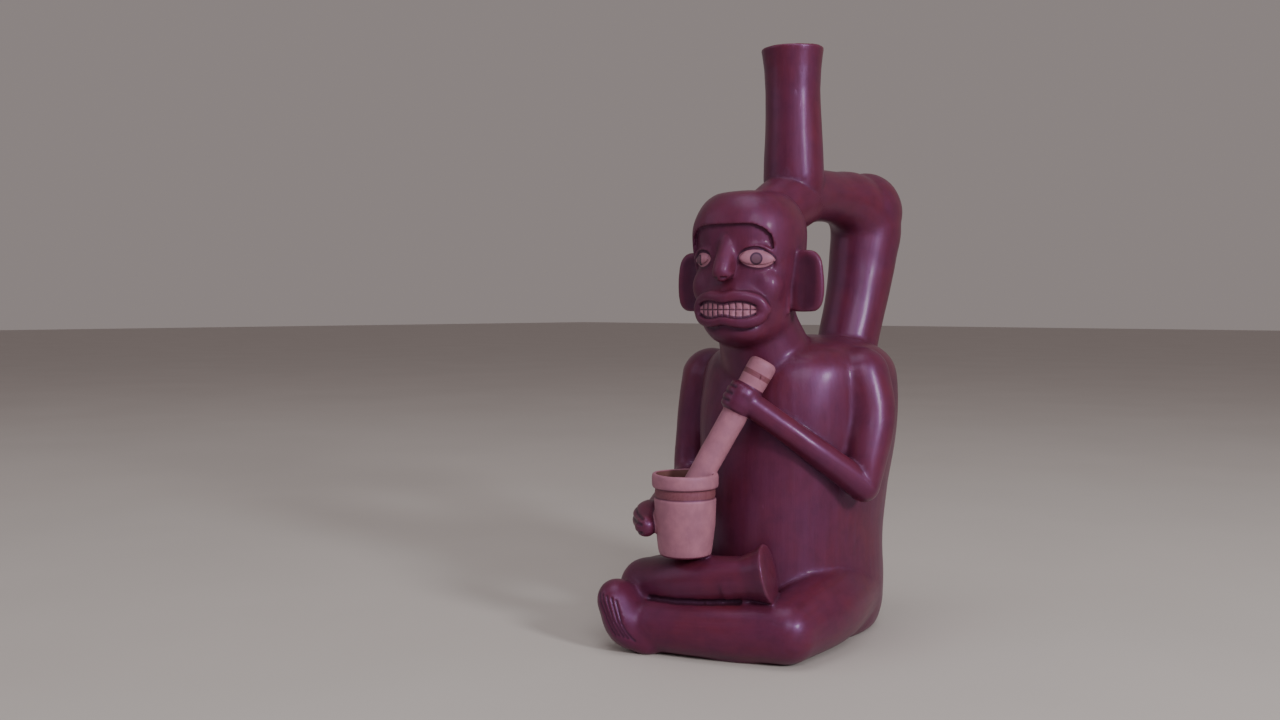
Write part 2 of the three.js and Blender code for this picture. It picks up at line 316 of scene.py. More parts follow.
def turned(clay, profile, foot, axis, around=72):
    """A profile ((radius, height), ...) with its ends on its axis, spun and stood at `foot` along `axis`."""
    wheel = bmesh.new()
    corners = [wheel.verts.new((radius, 0, height)) for radius, height in profile]
    edges = [wheel.edges.new(pair) for pair in zip(corners, corners[1:])]
    bmesh.ops.spin(
        wheel,
        geom=corners + edges,
        axis=(0, 0, 1),
        cent=(0, 0, 0),
        dvec=(0, 0, 0),
        angle=2 * math.pi,
        steps=around,
        use_duplicate=False,
        use_merge=True,
    )
    bmesh.ops.remove_doubles(wheel, verts=wheel.verts, dist=1e-4)
    lean = Vector((0, 0, 1)).rotation_difference(Vector(axis))
    pose = Matrix.Translation(foot) @ lean.to_matrix().to_4x4()
    bmesh.ops.transform(wheel, matrix=pose, verts=wheel.verts)
    made = bpy.data.meshes.new("turned")
    wheel.to_mesh(made)
    wheel.free()
    clay.from_mesh(made)
    bpy.data.meshes.remove(made)


# ---- Turning forms into one skin ----


def object_of(clay, name):
    """A Blender object, in metres, from forms laid out in millimetres."""
    bmesh.ops.recalc_face_normals(clay, faces=clay.faces)
    bmesh.ops.transform(clay, matrix=Matrix.Scale(MM, 4), verts=clay.verts)
    mesh = bpy.data.meshes.new(name)
    clay.to_mesh(mesh)
    clay.free()
    made = bpy.data.objects.new(name, mesh)
    bpy.context.scene.collection.objects.link(made)
    return made


def throw_away(made):
    mesh = made.data
    bpy.data.objects.remove(made)
    bpy.data.meshes.remove(mesh)


def add_to(clay, made):
    """Puts a finished object's mesh back among forms in millimetres, and removes the object."""
    made.data.transform(Matrix.Scale(1 / MM, 4))
    clay.from_mesh(made.data)
    throw_away(made)


def settle(made):
    """Applies an object's modifiers to its mesh."""
    graph = bpy.context.evaluated_depsgraph_get()
    mesh = bpy.data.meshes.new_from_object(made.evaluated_get(graph))
    before = made.data
    made.modifiers.clear()
    made.data = mesh
    bpy.data.meshes.remove(before)


def fuse(made, grain, smoothing):
    """Fuses overlapping forms into one skin, then rubs it smooth."""
    skin = made.modifiers.new("fuse", "REMESH")
    skin.mode = "VOXEL"
    skin.voxel_size = grain * MM
    rub = made.modifiers.new("rub", "SMOOTH")
    rub.factor = 0.5
    rub.iterations = smoothing
    settle(made)


def cut(made, tool):
    """Cuts one closed object out of another, and removes the tool."""
    change = made.modifiers.new("cut", "BOOLEAN")
    change.operation = "DIFFERENCE"
    change.solver = "MANIFOLD"
    change.object = tool
    settle(made)
    throw_away(tool)


def thin_out(made, triangles, keep=None):
    """Keeps about that many triangles, the points of group `keep` finest."""
    made.data.calc_loop_triangles()
    fewer = made.modifiers.new("thin", "DECIMATE")
    fewer.ratio = min(1.0, triangles / len(made.data.loop_triangles))
    if keep:
        fewer.vertex_group = keep
        fewer.invert_vertex_group = True
        fewer.vertex_group_factor = 1.0
    settle(made)


# ---- The masses that flow into one another ----


def make_body():
    """Trunk, neck, skull, stirrup, arms and legs, fused and rubbed smooth."""
    clay = bmesh.new()
    upright(clay, TRUNK, 96, 64, turn=Matrix.Translation((0, TRUNK_Y, 0)))
    upright(clay, SKULL, 72, 48, turn=HEAD_FRAME)
    muzzle, chin = ((0.8, -15.5, 155.5), (18, 12, 14)), ((1.2, -14.6, 145.4), (14.8, 11.8, 7.4))
    egg(clay, *muzzle, HEAD_FRAME)
    egg(clay, *chin, HEAD_FRAME)
    for side in (-1, 1):
        egg(clay, (side * 13.5, -12.5, 164.5), (8.8, 8.2, 10), HEAD_FRAME)
    limb(clay, ARCH, 56, 90, up=(1, 0, 0))
    egg(clay, *BEND)
    limb(clay, NECK, 48, 24, up=(1, 0, 0))
    arms = (LEFT_UPPER_ARM, RIGHT_UPPER_ARM, RIGHT_FOREARM)
    for stations in (*arms, LEFT_THIGH, LEFT_SHIN, RIGHT_THIGH, RIGHT_SHIN):
        limb(clay, stations, 36, 48)
    limb(clay, LEFT_FOOT, 36, 40, up=(1, 0, 0), tall=0.8)
    egg(clay, *LAP)
    body = object_of(clay, "body")
    fuse(body, BODY_GRAIN, 9)
    return body


# ---- The forms laid on the body ----


def front_of_mouth(x, lift=0.0):
    """How far forward the muzzle comes, x to the side of its middle."""
    return -(MOUTH["front"] + lift - x * x / MOUTH["bend"])


def mouth_opening(x):
    """Half the height of the open mouth, x to the side of its middle."""
    over = min(abs(x) / (MOUTH["width"] - CORNER), 1.0)
    pinch = MOUTH["pinch"] * math.exp(-((x / PINCH_WIDTH) ** 2))
    return max(MOUTH["height"] * (1 - over**MOUTH_SQUARENESS) ** 0.6 - pinch, 0.0)


def lip(way, thickness, count=12):
    """Stations of a lip from corner to corner; way is 1 for the upper lip and -1 for the lower."""
    stations = []
    for i in range(count + 1):
        x = MOUTH["width"] * math.sin(math.pi * (i / count - 0.5))
        height = mouth_opening(x) + (thickness * 0.85 if abs(x) < MOUTH["width"] - 1 else 0.3)
        radius = thickness * (0.88 if i in (0, count) else 1.0) * (1 + 0.2 * max(x, 0.0) / MOUTH["width"])
        stations.append((MOUTH["x"] + x, front_of_mouth(x, 0.2), MOUTH["z"] + way * height, radius))
    return tuple(stations)


def around_eye(side, angle, grow=0.0, depth=-1.2):
    """A point of the almond line round an eye, in the head's frame; 90 degrees is at the top."""
    c, s = math.cos(math.radians(angle)), math.sin(math.radians(angle))
    pointed = 1.5 if c > 0 else 1.05
    width, height = (1, 1) if side > 0 else SMALL_EYE
    across = (EYE["width"] * width + grow) * c
    up = (EYE["height"] * height + grow) * math.copysign(abs(s) ** pointed, s)
    up += across * math.tan(math.radians(EYE["tilt"]))
    turn = math.radians(side * EYE["turn"])
    back = depth + 0.035 * across * across
    x = side * (EYE["x"] + across * math.cos(turn)) - back * math.sin(turn)
    y = EYE["y"] + side * across * math.sin(turn) + back * math.cos(turn)
    return x, y, EYE["z"] + up


def face_forms(clay):
    """Nose, lips, bared teeth, eyes and ears."""
    nose = ((0, -19.8, 187, 4.3), (0, -22.6, 180, 4.4), (0, -26.4, 173.5, 4.3), (0, -28.0, 170.4, 4.1))
    limb(clay, nose, 24, 24, up=(1, 0, 0), turn=HEAD_FRAME)
    for side in (-1, 1):
        egg(clay, (side * 3.2, -26.4, 169.2), (2.0, 2.6, 2.0), HEAD_FRAME)
        bridge = ((3.4, -20.4, 186, 2.6), (2.8, -22.4, 178, 2.4), (2.2, -24.6, 171, 2.2))
        bridge = tuple((side * x, *rest) for x, *rest in bridge)
        limb(clay, bridge, 16, 16, up=(1, 0, 0), turn=HEAD_FRAME)
    limb(clay, lip(1, UPPER_LIP), 20, 60, turn=HEAD_FRAME)
    limb(clay, lip(-1, LOWER_LIP), 20, 60, turn=HEAD_FRAME)
    teeth = []
    for x in (-13, -9, -4.5, 0, 4.5, 9, 13):
        teeth.append((MOUTH["x"] + x, front_of_mouth(x, -0.7), MOUTH["z"], MOUTH["height"] + 1.2))
    limb(clay, tuple(teeth), 28, 40, deep=0.4, turn=HEAD_FRAME)
    for side in (-1, 1):
        ball = (side * EYE["x"], EYE["y"], EYE["z"])
        width, height = (1, 1) if side > 0 else SMALL_EYE
        half = (EYE["width"] * width, EYEBALL_DEPTH, EYE["height"] * height)
        egg(clay, ball, half, HEAD_FRAME, side * EYE["turn"])
        lid = tuple((*around_eye(side, angle, 1.5, -1.0), 1.0) for angle in range(0, 181, 15))
        limb(clay, lid, 14, 40, turn=HEAD_FRAME)
        upright(clay, EAR, 48, 32, turn=HEAD_FRAME @ Matrix.Translation((side * EAR_X, -1, 0)))
        fold = ((22.6, -3.2, 178, 1.4), (20.9, -4.4, 166, 1.5), (20.7, -4.0, 153, 1.2))
        fold = tuple((side * x, *rest) for x, *rest in fold)
        limb(clay, fold, 14, 24, turn=HEAD_FRAME)


def make_cap():
    """The close cap: a larger skull with a window cut out of it for the face; it dies away at the jaw."""
    clay = bmesh.new()
    stations = []
    for z, width, front, back, squareness in SKULL[:8]:
        lift = CAP_LIFT * min(max((z - CAP_END) / CAP_FADE, 0.0), 1.0) - CAP_SINK
        stations.append((z, width + lift, front + lift, back + lift, squareness))
    upright(clay, stations, 96, 64, turn=HEAD_FRAME)
    cap = object_of(clay, "cap")
    window = bmesh.new()
    upright(window, CAP_WINDOW, 64, 40, turn=HEAD_FRAME @ Matrix.Translation((0, -45, 0)))
    cut(cap, object_of(window, "window"))
    return cap


def make_spout(clay):
    """The spout, hollow from its lip down to the stirrup."""
    height = RIM_Z - SPOUT_FOOT.z
    foot = ((13.2, 0), (13.8, 7), (14.5, 12), (14.2, 19))
    neck = ((13.8, 29), (13.2, 42), (13, 54), (13.5, 64), (14.3, 71), (14.7, height - 0.8))
    lip_top = ((14.3, height - 0.1), (13.5, height - 0.1))
    inside = ((12.8, height - 1.4), (11, height - 8), (9.8, height - 20), (9.4, 30))
    turned(clay, ((0, 0), *foot, *neck, *lip_top, *inside, (0, 30)), SPOUT_FOOT, SPOUT_LEAN)


def make_mortar(clay):
    """The cup on the shin, with a raised collar and a band let in below it."""
    foot, rim, wall = MORTAR["foot_radius"], MORTAR["rim_radius"], MORTAR["wall"]
    height = MORTAR["rim"] - MORTAR["base"]
    low, high = height - BAND_BASE, height - BAND_TOP
    outside = ((foot - 1.2, 0), (foot - 0.3, 0.6), (foot + 0.2, 2.4), (foot + 1.6, 14))
    band = ((rim - 0.95, low - 0.5), (rim - 1.35, low), (rim - 1.3, high - 0.5), (rim - 0.7, high))
    collar = ((rim - 0.2, height - 6.1), (rim, height - 5), (rim, height - 1.4), (rim - 0.3, height - 0.4))
    lip_top = ((rim - 0.9, height), (rim - 1.7, height - 0.3))
    inside = ((rim - wall, height - 2), (foot - wall, 12), (foot - wall - 3, 7), (0, 6))
    profile = ((0, 0), *outside, *band, *collar, *lip_top, *inside)
    turned(clay, profile, (MORTAR["x"], MORTAR["y"], MORTAR["base"]), (0, 0, 1))


def make_pestle(clay):
    """The pestle, a round stick a little thicker at its head."""
    end = PESTLE_LENGTH
    profile = [(0, 0), (3.4, 0.3), (5.8, 2.6), (5.75, end * 0.5), (6.0, end * 0.8), (6.35, end - 5)]
    profile += [(6.35, end - 2), (5.6, end - 0.5), (4.2, end), (0, end + 0.3)]
    turned(clay, profile, PESTLE_FOOT, PESTLE_AXIS)


def hand_forms(clay):
    """The left forearm and its fist round the pestle, and the right hand on the mortar."""
    limb(clay, LEFT_FOREARM, 32, 48)
    r = FIST_RADIUS
    lower = ((0, -7.4), (r * 0.55, -7.2), (r * 0.88, -5.8), (r, -2.5))
    grip = (*lower, (r, 2.5), (r * 0.9, 5.6), (r * 0.6, 7.2), (0, 7.4))
    turned(clay, grip, FIST_CENTRE, PESTLE_AXIS, 48)
    limb(clay, RIGHT_HAND, 28, 36)


def make_right_foot(clay):
    """The foot at the shin's end, which flares to a flat sole."""
    axis = RIGHT_SOLE - RIGHT_ANKLE
    end = axis.length
    flare = ((9.0, 0), (9.1, end * 0.3), (9.9, end * 0.55), (11.5, end * 0.78), (12.9, end * 0.92))
    sole = ((13.3, end - 0.7), (12.7, end), (9, end + 0.3), (0, end + 0.4))
    turned(clay, ((0, 0), *flare, *sole), RIGHT_ANKLE, axis)


# ---- Pressed lines ----

# Half width and depth of each kind.
TOOTH_GAP = (0.4, 0.6)
LIP_EDGE = (0.5, 0.8)
EYE_RIM = (0.55, 0.6)
CHEEK_FOLD = (1.6, 0.6)
NOSTRIL = (0.8, 0.8)
EAR_DISH = (3.6, 0.8)
CHIN_FOLD = (1.3, 0.8)
FINGER_GAP = (0.65, 0.5)
KNUCKLE_GAP = (0.7, 0.65)
SHIN_CREASE = (1.0, 1.6)
TOE_GAP = (0.5, 0.5)
BAND_EDGE = (0.5, 0.35)


def arc_round(centre, axis, radius, start, end, steps=14):
    """Points of an arc round an axis; angle 0 is towards -Y, square to the axis, and grows towards +X."""
    axis = axis.normalized()
    front = (Vector((0, -1, 0)) - axis * Vector((0, -1, 0)).dot(axis)).normalized()
    side = front.cross(axis)
    side = side if side.x > 0 else -side
    angles = [math.radians(start + (end - start) * i / steps) for i in range(steps + 1)]
    return [centre + radius * (front * math.cos(angle) + side * math.sin(angle)) for angle in angles]


def face_lines():
    """Tooth gaps, the rims of the eyes, nostrils and the folds of the face: (points, half width, depth)."""
    lines = []
    middle, z = MOUTH["x"], MOUTH["z"]
    for i in range(-4, 5):
        x = TOOTH * i
        tall = mouth_opening(x) - 0.2
        front = front_of_mouth(x, 2)
        lines.append(([(middle + x, front, z - tall), (middle + x, front, z + tall)], *TOOTH_GAP))
    across = [13.6 * math.sin(math.pi * (i / 12 - 0.5)) for i in range(13)]
    lines.append(([(middle + x, front_of_mouth(x, 2), z) for x in across], *TOOTH_GAP))
    for way in (-1, 1):
        edge = [(middle + x, front_of_mouth(x, 2), z + way * (mouth_opening(x) + 0.2)) for x in across]
        lines.append((edge, *LIP_EDGE))
    for side in (-1, 1):
        lines.append(([around_eye(side, angle, 0.3, -2.2) for angle in range(0, 361, 12)], *EYE_RIM))
        cheek = ((6, -26.8, 167), (12.5, -25.2, 164.2), (18.5, -21, 159), (21, -16.5, 151))
        lines.append(([(side * x, y, height) for x, y, height in cheek], *CHEEK_FOLD))
        lines.append(([(side * 1.6, -31, 167.4), (side * 3.6, -30, 167)], *NOSTRIL))
        dish = [(side * 29.5, -3.6, 174), (side * 30, -3.6, 166), (side * 29, -3.6, 158)]
        lines.append((dish, *EAR_DISH))
    under_lip = [(middle + x, -27.8 + x * x / 26, 145.6 + x * x / 60) for x in range(-14, 15, 2)]
    lines.append((under_lip, *CHIN_FOLD))
    return [([HEAD_FRAME @ Vector(point) for point in points], *size) for points, *size in lines]


def hand_lines():
    """The gaps between the fingers of both hands."""
    lines = []
    for along in (-3.5, 0.0, 3.5):
        centre = FIST_CENTRE + PESTLE_AXIS * along
        lines.append((arc_round(centre, PESTLE_AXIS, FIST_RADIUS, -140, -5), *FINGER_GAP))
    for drop in (-3.8, 0.0, 3.8):
        knuckles = ((-34.5, -64, 61), (-33, -70, 60.6), (-27, -77, 60), (-20, -80.5, 59))
        lines.append(([Vector((x, y, z + drop)) for x, y, z in knuckles], *KNUCKLE_GAP))
    return lines


def toe_lines():
    """The gaps between the toes, and the deep crease between the two shins."""
    crease = ((-24, -68.8, 23.3), (-10, -67.2, 24), (4, -61.5, 25.3), (17, -57, 27.1))
    lines = [([Vector(point) for point in crease], *SHIN_CREASE)]
    for i in range(5):
        shift = Vector((3.1, 0.4, -0.6)) * i
        start, end = Vector((-41, -89, 28)) + shift, Vector((-29, -91, 8)) + shift * 0.9
        lines.append(([start, (start + end) / 2 + Vector((-0.6, -2, 0.6)), end], *TOE_GAP))
    return lines


def mortar_lines():
    """The edges of the mortar's band."""
    lines = []
    for drop in (BAND_TOP + 0.4, BAND_BASE - 0.1):
        centre = Vector((MORTAR["x"], MORTAR["y"], MORTAR["rim"] - drop))
        ring = arc_round(centre, Vector((0, 0, 1)), MORTAR["rim_radius"] - 1.4, 0, 360, 48)
        lines.append((ring, *BAND_EDGE))
    return lines


def laid_on(tree, points, step=0.8):
    """A line's points, filled in and brought onto the nearest clay."""
    laid = []
    for a, b in zip(points, points[1:]):
        count = max(int((b - a).length / step), 1)
        laid += [a.lerp(b, i / count) for i in range(count)]
    return [tree.find_nearest(point * MM)[0] / MM for point in (*laid, points[-1])]


def distance_to_line(points, a, b):
    span = b - a
    t = np.clip((points - a) @ span / max(span @ span, 1e-9), 0, 1)
    return np.linalg.norm(points - (a + t[:, None] * span), axis=1)


def mesh_arrays(mesh):
    """The places, in millimetres, and the normals of a mesh's points."""
    count = len(mesh.vertices)
    places, normals = np.empty(count * 3, np.float32), np.empty(count * 3, np.float32)
    mesh.vertices.foreach_get("co", places)
    mesh.vertex_normals.foreach_get("vector", normals)
    return places.reshape(-1, 3) / MM, normals.reshape(-1, 3)


def put_back(mesh, places):
    mesh.vertices.foreach_set("co", (places * MM).astype(np.float32).ravel())
    mesh.update()


def press(made, lines):
    """Presses each line into the skin with a round tool, and returns how deep each point went."""
    places, normals = mesh_arrays(made.data)
    tree = BVHTree.FromObject(made, bpy.context.evaluated_depsgraph_get())
    depth_at = np.zeros(len(places))
    for points, half_width, depth in lines:
        points = np.array(laid_on(tree, points), float)
        reach = half_width * 2.4
        close = (places > points.min(0) - reach) & (places < points.max(0) + reach)
        near = np.nonzero(np.all(close, axis=1))[0]
        away = np.full(len(near), reach)
        for a, b in zip(points, points[1:]):
            away = np.minimum(away, distance_to_line(places[near], a, b))
        dent = depth * np.exp(-((away / half_width) ** 2) * 0.9)
        depth_at[near] = np.maximum(depth_at[near], np.where(away < reach, dent, 0))
    put_back(made.data, places - normals * depth_at[:, None])
    return depth_at


def refine(made, spots):
    """Makes the net finer round the given spots, (centre, radius), in millimetres."""
    net = bmesh.new()
    net.from_mesh(made.data)
    edges = set()
    for face in net.faces:
        middle = face.calc_center_median() / MM
        if any((middle - centre).length < radius for centre, radius in spots):
            edges.update(face.edges)
    bmesh.ops.subdivide_edges(net, edges=list(edges), cuts=1, use_grid_fill=True)
    bmesh.ops.triangulate(net, faces=[face for face in net.faces if len(face.verts) > 4])
    net.to_mesh(made.data)
    net.free()


def standing_out(mesh):
    """How much each point stands out from its neighbours: above 0 on ridges, below 0 in creases."""
    places, normals = mesh_arrays(mesh)
    ends = np.empty(len(mesh.edges) * 2, np.int32)
    mesh.edges.foreach_get("vertices", ends)
    ends = ends.reshape(-1, 2)
    degree = np.maximum(np.bincount(ends.ravel(), minlength=len(places)), 1)[:, None]

    def neighbours(values):
        total = np.empty_like(values)
        for k in range(values.shape[1]):
            total[:, k] = np.bincount(ends[:, 0], values[ends[:, 1], k], len(values))
            total[:, k] += np.bincount(ends[:, 1], values[ends[:, 0], k], len(values))
        return total / degree

    smooth = places.astype(float)
    for _ in range(6):
        smooth = (smooth + neighbours(smooth)) / 2
    out = np.sum((places - smooth) * normals, axis=1)[:, None]
    for _ in range(3):
        out = (out + neighbours(out)) / 2
    return out[:, 0]


# ---- The hollow and the finished clay ----


def make_hollow():
    """The chamber, the hollow head and the way through neck, stirrup and spout."""
    clay = bmesh.new()
    inner = [(z, w - WALL, f - WALL, b - WALL, n) for z, w, f, b, n in TRUNK if WALL + 2 < z < 136]
    stations = ((134, 18, 20, 26, 2), *inner[1:], (WALL, 24, 32, 30, 2.2))
    upright(clay, stations, 40, 24, turn=Matrix.Translation((0, TRUNK_Y, 0)))
    upright(clay, SKULL[1:], 32, 20, grow=-WALL, turn=HEAD_FRAME)
    neck = ((0, -20, 160, TUBE_BORE), (0, -16, 142, TUBE_BORE), (0, -8, 124, TUBE_BORE))
    limb(clay, neck, 24, 16, up=(1, 0, 0))
    limb(clay, tuple((x, y, z, TUBE_BORE) for x, y, z, radius in ARCH), 24, 60, up=(1, 0, 0))
    turned(clay, ((0, 2), (TUBE_BORE, 2), (TUBE_BORE, 38), (0, 38)), SPOUT_FOOT, SPOUT_LEAN, 32)
    hollow = object_of(clay, "hollow")
    fuse(hollow, HOLLOW_GRAIN, 2)
    thin_out(hollow, HOLLOW_TRIANGLES)
    return hollow


def make_ground():
    """What the flat underside is cut with."""
    clay = bmesh.new()
    pose = Matrix.Translation((0, 0, -30)) @ Matrix.Diagonal((600, 600, 60, 1))
    bmesh.ops.create_cube(clay, size=1.0, matrix=pose)
    return object_of(clay, "ground")


def make_skin():
    """Body, cap, face, hands, right foot, spout, mortar and pestle in one skin."""
    details = bmesh.new()
    face_forms(details)
    hand_forms(details)
    make_right_foot(details)
    make_spout(details)
    make_mortar(details)
    make_pestle(details)
    add_to(details, make_cap())
    add_to(details, make_body())
    skin = object_of(details, "clay_vessel")
    fuse(skin, SKIN_GRAIN, 3)
    return skin


def make_vessel():
    """The skin with its pressed lines, hollowed out and cut flat below."""
    vessel = make_skin()
    spots = [(side * EYE["x"], -22, EYE["z"], 12) for side in (-1, 1)] + [(0, -26, MOUTH["z"], 19)]
    refine(vessel, [(HEAD_FRAME @ Vector(spot[:3]), spot[3]) for spot in spots])
    pressed = press(vessel, face_lines() + hand_lines() + toe_lines() + mortar_lines())
    ridge = standing_out(vessel.data)
    # ridge gives pale wear on ridges and painted shade in creases; pressed gives painted shade in the
    # pressed lines.
    for name, values in (("ridge", ridge), ("pressed", pressed)):
        stored = vessel.data.attributes.new(name, "FLOAT", "POINT")
        stored.data.foreach_set("value", values.astype(np.float32))
    fine = vessel.vertex_groups.new(name="fine")
    steps = np.ceil(np.clip(np.abs(ridge) * 5 + pressed * 2, 0.0, 1.0) * 5).astype(int)
    for step in range(1, 6):
        fine.add(np.nonzero(steps == step)[0].tolist(), step / 5, "REPLACE")
    thin_out(vessel, TRIANGLES, "fine")
    cut(vessel, make_hollow())
    cut(vessel, make_ground())
    vessel.vertex_groups.clear()
    return vessel


def strokes_on(places):
    """Where each place lies across and along the limb it belongs to, which the burnishing strokes follow."""
    count = len(places)
    height = places[:, 2]
    best = np.full(count, 1e9)
    local = np.zeros((count, 3))

    def take(nearer, values):
        chosen = nearer < best
        best[chosen] = nearer[chosen]
        local[chosen] = values[chosen]

    uprights = ((TRUNK, Matrix.Translation((0, TRUNK_Y, 0))), (SKULL, HEAD_FRAME))
    for number, (stations, pose) in enumerate(uprights):
        back = np.array(pose.inverted())
        own = places @ back[:3, :3].T + back[:3, 3]
        levels = np.array(stations)[::-1]
        width, front, rear = (np.interp(height, levels[:, 0], levels[:, k]) for k in (1, 2, 3))
        deep = np.where(own[:, 1] > 0, rear, front)
        out = (np.hypot(own[:, 0] / width, own[:, 1] / deep) - 1) * width
        out += np.maximum(height - levels[-1, 0], 0) + np.maximum(levels[0, 0] - height, 0)
        take(out, own + np.array((number * 97, 0, 0)))
    poles = [*LIMBS, ((*SPOUT_FOOT, 14), (*(SPOUT_FOOT + SPOUT_LEAN * 74), 14))]
    for number, stations in enumerate(poles):
        frame_at = limb_frames(stations, Vector((1, 0, 0)) if abs(stations[0][0]) < 1 else Vector((0, 0, 1)))
        steps = 24
        rows = [frame_at(i / steps) for i in range(steps + 1)]
        gone = 0.0
        for (a, ahead, side, over, radius), (b, *_) in zip(rows, rows[1:]):
            span = (b - a).length
            from_a = places - np.array(a)
            along = np.clip(from_a @ np.array(ahead), 0, span)
            apart = from_a - along[:, None] * np.array(ahead)
            values = np.stack((apart @ np.array(side), apart @ np.array(over), gone + along), axis=1)
            take(np.linalg.norm(apart, axis=1) - radius, values + np.array((number * 61 + 200, 0, 0)))
            gone += span
    return local


def hand_made(made):
    """Leaves the clay a little uneven, as a hand does, and stores the strokes' own coordinates."""
    places, normals = mesh_arrays(made.data)
    strokes = strokes_on(places)
    uneven = np.array([noise.noise(Vector(place) * 0.07) for place in places]) * UNEVEN
    facets = np.array([noise.noise(Vector((a * 0.28, b * 0.28, c * 0.035))) for a, b, c in strokes])
    facets *= STROKE_RELIEF
    lift = (uneven + facets) * np.clip(places[:, 2] / 6, 0, 1)
    put_back(made.data, places + normals * lift[:, None])
    stored = made.data.attributes.new("strokes", "FLOAT_VECTOR", "POINT")
    stored.data.foreach_set("vector", strokes.astype(np.float32).ravel())


def fit_to_cad(made):
    """Puts the clay where the CAD model stands, and keeps it inside its box; returns the shift in metres."""
    places, _ = mesh_arrays(made.data)
    shift = ORIGIN * MM
    low, high = np.array(CAD_BOX)
    low[:2] += HAIR * MM
    high -= HAIR * MM
    put_back(made.data, np.clip(places + np.array(ORIGIN), low / MM, high / MM))
    return shift


# ---- Mixing a finish from nodes ----


class Value:
    """A number that changes over the clay: Python's operators on it add Math nodes."""

    def __init__(self, recipe, socket):
        self.recipe = recipe
        self.socket = socket

    def maths(self, operation, *operands):
        made = self.recipe.node("ShaderNodeMath", {"operation": operation}, dict(enumerate(operands)))
        return Value(self.recipe, made.outputs[0])

    def __add__(self, other):
        return self.maths("ADD", self, other)

    def __radd__(self, other):
        return self.maths("ADD", other, self)

    def __sub__(self, other):
        return self.maths("SUBTRACT", self, other)

    def __rsub__(self, other):
        return self.maths("SUBTRACT", other, self)

    def __mul__(self, other):
        return self.maths("MULTIPLY", self, other)

    def __rmul__(self, other):
        return self.maths("MULTIPLY", other, self)

    def __truediv__(self, other):
        return self.maths("DIVIDE", self, other)

    def __pow__(self, other):
        return self.maths("POWER", self, other)

    def __rpow__(self, other):
        return self.maths("POWER", other, self)

    def __abs__(self):
        return self.maths("ABSOLUTE", self)

    def least(self, other):
        return self.maths("MINIMUM", self, other)

    def most(self, other):
        return self.maths("MAXIMUM", self, other)

    def above(self, edge, soft=0.2):
        """0 below the edge and 1 above it, over a soft step."""
        limits = {"From Min": edge - soft, "From Max": edge + soft}
        made = self.recipe.node(
            "ShaderNodeMapRange", {"interpolation_type": "SMOOTHSTEP"}, {"Value": self, **limits}
        )
        return Value(self.recipe, made.outputs[0])

    def below(self, edge, soft=0.2):
        return 1 - self.above(edge, soft)

    def between(self, low, high, soft=0.2):
        return self.above(low, soft) * self.below(high, soft)


class Recipe:
    """One material and the nodes it is mixed from."""

    def __init__(self, name):
        self.material = bpy.data.materials.new(name)
        self.material.use_nodes = True
        self.tree = self.material.node_tree
        self.shader = self.tree.nodes["Principled BSDF"]

    def node(self, kind, settings=None, sockets=None):
        """A node of a type, with its settings, then the values or links of its sockets."""
        made = self.tree.nodes.new(kind)
        for name, value in (settings or {}).items():
            setattr(made, name, value)
        for name, value in (sockets or {}).items():
            self.feed(made.inputs[name], value)
        return made

    def feed(self, socket, value):
        value = value.socket if isinstance(value, Value) else value
        if isinstance(value, bpy.types.NodeSocket):
            self.tree.links.new(value, socket)
        else:
            socket.default_value = value

    def mix(self, share, first, second):
        """A colour between two colours: `share` is how much of the second."""
        made = self.node("ShaderNodeMix", {"data_type": "RGBA"}, {0: share, 6: first, 7: second})
        return made.outputs[2]

    def stored(self, name, output="Fac"):
        return self.node("ShaderNodeAttribute", {"attribute_name": name}).outputs[output]

    def grain(self, at, scale, detail=3.0, roughness=0.5):
        """Noise about 0, from roughly -1 to 1."""
        sockets = {"Vector": at, "Scale": scale, "Detail": detail, "Roughness": roughness}
        return Value(self, self.node("ShaderNodeTexNoise", {}, sockets).outputs["Fac"]) * 2 - 1

    def stretched(self, at, scale):
        """Coordinates scaled apart on each axis, for grain that runs one way."""
        return self.node("ShaderNodeMapping", {}, {"Vector": at, "Scale": scale}).outputs[0]

    def placed(self, origin=(0, 0, 0), rotation=0.0):
        """Millimetres from an origin in the layout, turned back by `rotation`."""
        back = Matrix.Rotation(-rotation, 4, "Z") @ -(ORIGIN + Vector(origin))
        here = self.node("ShaderNodeTexCoord").outputs["Object"]
        sockets = {"Vector": here, "Location": back, "Rotation": (0, 0, -rotation), "Scale": (1 / MM,) * 3}
        return self.node("ShaderNodeMapping", {"vector_type": "POINT"}, sockets).outputs[0]

    def split(self, vector):
        made = self.node("ShaderNodeSeparateXYZ", {}, {0: vector})
        return [Value(self, made.outputs[k]) for k in range(3)]


# ---- Where each slip lies ----


def pestle_mask(recipe, at):
    """The pestle, and how far along it a point is."""
    less = recipe.node("ShaderNodeVectorMath", {"operation": "SUBTRACT"}, {0: at, 1: PESTLE_FOOT})
    from_foot = less.outputs[0]
    dot = recipe.node("ShaderNodeVectorMath", {"operation": "DOT_PRODUCT"}, {0: from_foot, 1: PESTLE_AXIS})
    whole = recipe.node("ShaderNodeVectorMath", {"operation": "LENGTH"}, {0: from_foot})
    along = Value(recipe, dot.outputs["Value"])
    reach = Value(recipe, whole.outputs["Value"])
    apart = (reach * reach - along * along).most(0.0) ** 0.5
    swell = along.above(PESTLE_LENGTH * 0.75, PESTLE_LENGTH * 0.2) * 0.55
    in_fist = along.between(FIST_ALONG - FIST_REACH, FIST_ALONG + FIST_REACH, 0.1)
    on_pestle = (6.1 + swell - apart).above(0.0, 0.06) * along.between(-1.0, PESTLE_LENGTH + 1.2)
    return on_pestle * (1 - in_fist), along


